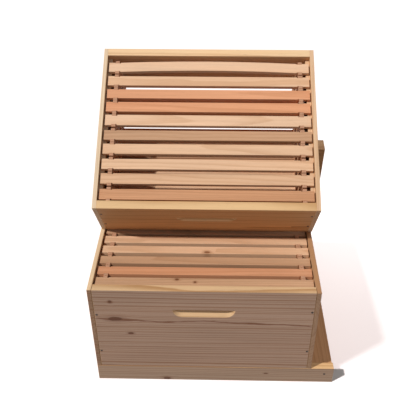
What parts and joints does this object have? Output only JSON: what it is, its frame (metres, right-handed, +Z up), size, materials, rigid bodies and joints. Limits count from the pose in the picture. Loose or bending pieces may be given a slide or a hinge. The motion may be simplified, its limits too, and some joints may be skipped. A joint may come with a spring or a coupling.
{
  "type": "beehive",
  "caption": "Langstroth beehive opened for inspection: deep body with frames on a bottom board, shallow super with frames propped up on the leaning flat cover.",
  "frame": {"origin": "centre of the hive's footprint on the ground, under the middle of its overall box", "axes": "+Z up from the ground, +X along the long sides towards the entrance and landing board, +Y from the open front towards the leaning cover"},
  "size_m": [0.568, 0.5572, 0.6396],
  "materials": {
    "box_wood": "bare planed pine, matt",
    "box_end_wood": "bare planed pale pine, matt",
    "floor_wood": "bare pine with warm heartwood, matt",
    "cover_ply": "bare pine plywood, matt",
    "cleat_wood": "bare sawn pine, matt",
    "frame_wood": "bare planed pine, satin from the planer",
    "end_bar_wood": "bare pine, matt",
    "nail_steel": "dull bright-wire nail"
  },
  "bodies": {
    "bottom_board": {"rail_front": "box_wood", "rail_back": "box_wood", "floor_planks": "floor_wood", "landing_plank": "floor_wood", "rear_cleats": "box_wood", "bottom_nails": "nail_steel"},
    "deep_body": {"deep_front_board": "box_wood", "deep_back_board": "box_wood", "deep_left_board": "box_end_wood", "deep_right_board": "box_end_wood", "deep_nails": "nail_steel"},
    "super_body": {"super_front_board": "box_wood", "super_back_board": "box_wood", "super_left_board": "box_end_wood", "super_right_board": "box_end_wood", "super_nails": "nail_steel"},
    "cover": {"cover_panel": "cover_ply", "cover_left_cleat": "cleat_wood", "cover_right_cleat": "cleat_wood", "cover_nails": "nail_steel"},
    "deep_frame_1": {"deep_frame_1_bars": "frame_wood", "deep_frame_1_end_bars": "end_bar_wood"},
    "deep_frame_2": {"deep_frame_2_bars": "frame_wood", "deep_frame_2_end_bars": "end_bar_wood"},
    "deep_frame_3": {"deep_frame_3_bars": "frame_wood", "deep_frame_3_end_bars": "end_bar_wood"},
    "deep_frame_4": {"deep_frame_4_bars": "frame_wood", "deep_frame_4_end_bars": "end_bar_wood"},
    "deep_frame_5": {"deep_frame_5_bars": "frame_wood", "deep_frame_5_end_bars": "end_bar_wood"},
    "deep_frame_6": {"deep_frame_6_bars": "frame_wood", "deep_frame_6_end_bars": "end_bar_wood"},
    "deep_frame_7": {"deep_frame_7_bars": "frame_wood", "deep_frame_7_end_bars": "end_bar_wood"},
    "deep_frame_8": {"deep_frame_8_bars": "frame_wood", "deep_frame_8_end_bars": "end_bar_wood"},
    "deep_frame_9": {"deep_frame_9_bars": "frame_wood", "deep_frame_9_end_bars": "end_bar_wood"},
    "deep_frame_10": {"deep_frame_10_bars": "frame_wood", "deep_frame_10_end_bars": "end_bar_wood"},
    "super_frame_1": {"super_frame_1_bars": "frame_wood", "super_frame_1_end_bars": "end_bar_wood"},
    "super_frame_2": {"super_frame_2_bars": "frame_wood", "super_frame_2_end_bars": "end_bar_wood"},
    "super_frame_3": {"super_frame_3_bars": "frame_wood", "super_frame_3_end_bars": "end_bar_wood"},
    "super_frame_4": {"super_frame_4_bars": "frame_wood", "super_frame_4_end_bars": "end_bar_wood"},
    "super_frame_5": {"super_frame_5_bars": "frame_wood", "super_frame_5_end_bars": "end_bar_wood"},
    "super_frame_6": {"super_frame_6_bars": "frame_wood", "super_frame_6_end_bars": "end_bar_wood"},
    "super_frame_7": {"super_frame_7_bars": "frame_wood", "super_frame_7_end_bars": "end_bar_wood"},
    "super_frame_8": {"super_frame_8_bars": "frame_wood", "super_frame_8_end_bars": "end_bar_wood"},
    "super_frame_9": {"super_frame_9_bars": "frame_wood", "super_frame_9_end_bars": "end_bar_wood"},
    "super_frame_10": {"super_frame_10_bars": "frame_wood", "super_frame_10_end_bars": "end_bar_wood"}
  },
  "joints": [
    {"name": "deep_body_lift", "type": "slide", "parent": "bottom_board", "child": "deep_body", "axis": [0, 0, 1], "range_m": [0, 0.15]},
    {"name": "super_lift", "type": "slide", "parent": "deep_body", "child": "super_body", "axis": [0, 0, 1], "range_m": [0, 0.35]},
    {"name": "cover_pull", "type": "slide", "parent": "deep_body", "child": "cover", "axis": [0, 1, 0], "range_m": [0, 0.35]},
    {"name": "deep_frame_1_lift", "type": "slide", "parent": "deep_body", "child": "deep_frame_1", "axis": [0, 0, 1], "range_m": [0, 0.25]},
    {"name": "deep_frame_2_lift", "type": "slide", "parent": "deep_body", "child": "deep_frame_2", "axis": [0, 0, 1], "range_m": [0, 0.25]},
    {"name": "deep_frame_3_lift", "type": "slide", "parent": "deep_body", "child": "deep_frame_3", "axis": [0, 0, 1], "range_m": [0, 0.25]},
    {"name": "deep_frame_4_lift", "type": "slide", "parent": "deep_body", "child": "deep_frame_4", "axis": [0, 0, 1], "range_m": [0, 0.079]},
    {"name": "deep_frame_5_lift", "type": "slide", "parent": "deep_body", "child": "deep_frame_5", "axis": [0, 0, 1], "range_m": [0, 0.024]},
    {"name": "deep_frame_6_lift", "type": "slide", "parent": "deep_body", "child": "deep_frame_6", "axis": [0, 0, 1], "range_m": [0, 0.005]},
    {"name": "deep_frame_7_lift", "type": "slide", "parent": "deep_body", "child": "deep_frame_7", "axis": [0, 0, 1], "range_m": [0, 0.02]},
    {"name": "deep_frame_8_lift", "type": "slide", "parent": "deep_body", "child": "deep_frame_8", "axis": [0, 0, 1], "range_m": [0, 0.043]},
    {"name": "deep_frame_9_lift", "type": "slide", "parent": "deep_body", "child": "deep_frame_9", "axis": [0, 0, 1], "range_m": [0, 0.066]},
    {"name": "deep_frame_10_lift", "type": "slide", "parent": "deep_body", "child": "deep_frame_10", "axis": [0, 0, 1], "range_m": [0, 0.09]},
    {"name": "super_frame_1_lift", "type": "slide", "parent": "super_body", "child": "super_frame_1", "axis": [0, -0.5519, 0.8339], "range_m": [0, 0.15]},
    {"name": "super_frame_2_lift", "type": "slide", "parent": "super_body", "child": "super_frame_2", "axis": [0, -0.5519, 0.8339], "range_m": [0, 0.15]},
    {"name": "super_frame_3_lift", "type": "slide", "parent": "super_body", "child": "super_frame_3", "axis": [0, -0.5519, 0.8339], "range_m": [0, 0.15]},
    {"name": "super_frame_4_lift", "type": "slide", "parent": "super_body", "child": "super_frame_4", "axis": [0, -0.5519, 0.8339], "range_m": [0, 0.15]},
    {"name": "super_frame_5_lift", "type": "slide", "parent": "super_body", "child": "super_frame_5", "axis": [0, -0.5519, 0.8339], "range_m": [0, 0.15]},
    {"name": "super_frame_6_lift", "type": "slide", "parent": "super_body", "child": "super_frame_6", "axis": [0, -0.5519, 0.8339], "range_m": [0, 0.15]},
    {"name": "super_frame_7_lift", "type": "slide", "parent": "super_body", "child": "super_frame_7", "axis": [0, -0.5519, 0.8339], "range_m": [0, 0.15]},
    {"name": "super_frame_8_lift", "type": "slide", "parent": "super_body", "child": "super_frame_8", "axis": [0, -0.5519, 0.8339], "range_m": [0, 0.15]},
    {"name": "super_frame_9_lift", "type": "slide", "parent": "super_body", "child": "super_frame_9", "axis": [0, -0.5519, 0.8339], "range_m": [0, 0.15]},
    {"name": "super_frame_10_lift", "type": "slide", "parent": "super_body", "child": "super_frame_10", "axis": [0, -0.5519, 0.8339], "range_m": [0, 0.15]}
  ]
}
